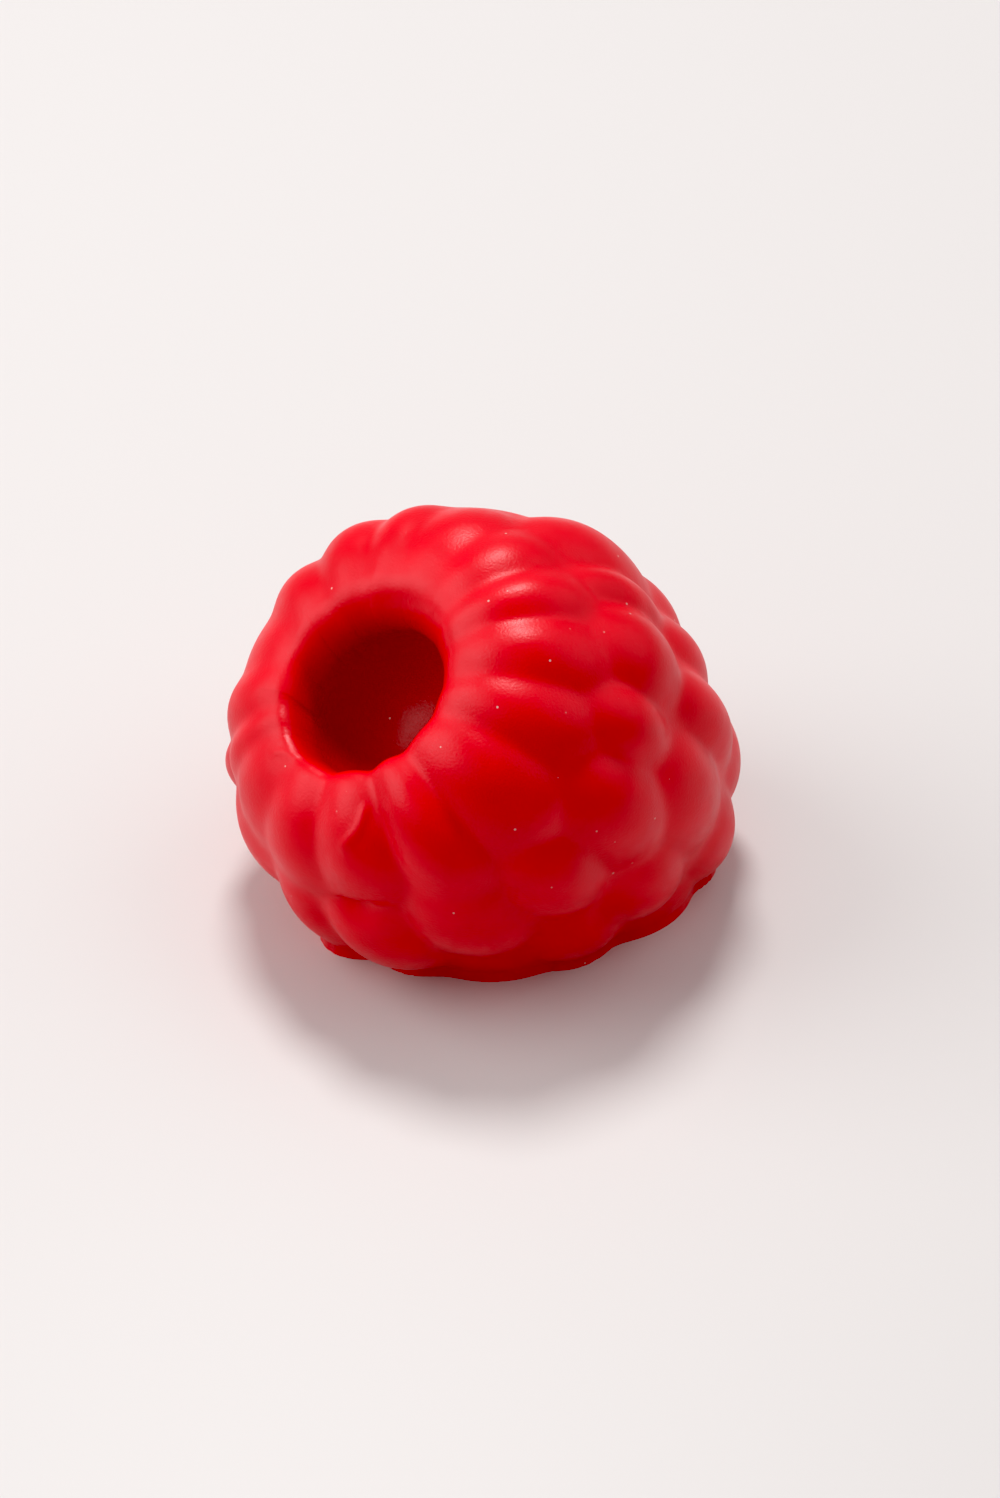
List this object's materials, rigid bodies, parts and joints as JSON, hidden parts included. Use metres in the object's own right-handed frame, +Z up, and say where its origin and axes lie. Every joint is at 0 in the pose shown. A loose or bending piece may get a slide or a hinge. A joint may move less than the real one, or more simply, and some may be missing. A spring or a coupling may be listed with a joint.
{
  "type": "moulded raspberry",
  "caption": "Moulded raspberry shape: rows of rounded drupelets round a deep hollow, with a flat underside so that it stands tilted, mouth up.",
  "frame": {"origin": "middle of the footprint's bounding box, on the resting plane", "axes": "+Z up from the resting plane; the hollow's mouth looks along -Y and up at 48 degrees; the tip points along +Y and down"},
  "size_m": [0.0584, 0.0642, 0.05],
  "materials": {
    "raspberry_red": "satin, soft sheen"
  },
  "bodies": {
    "root": {"moulded_raspberry": "raspberry_red"}
  },
  "joints": []
}
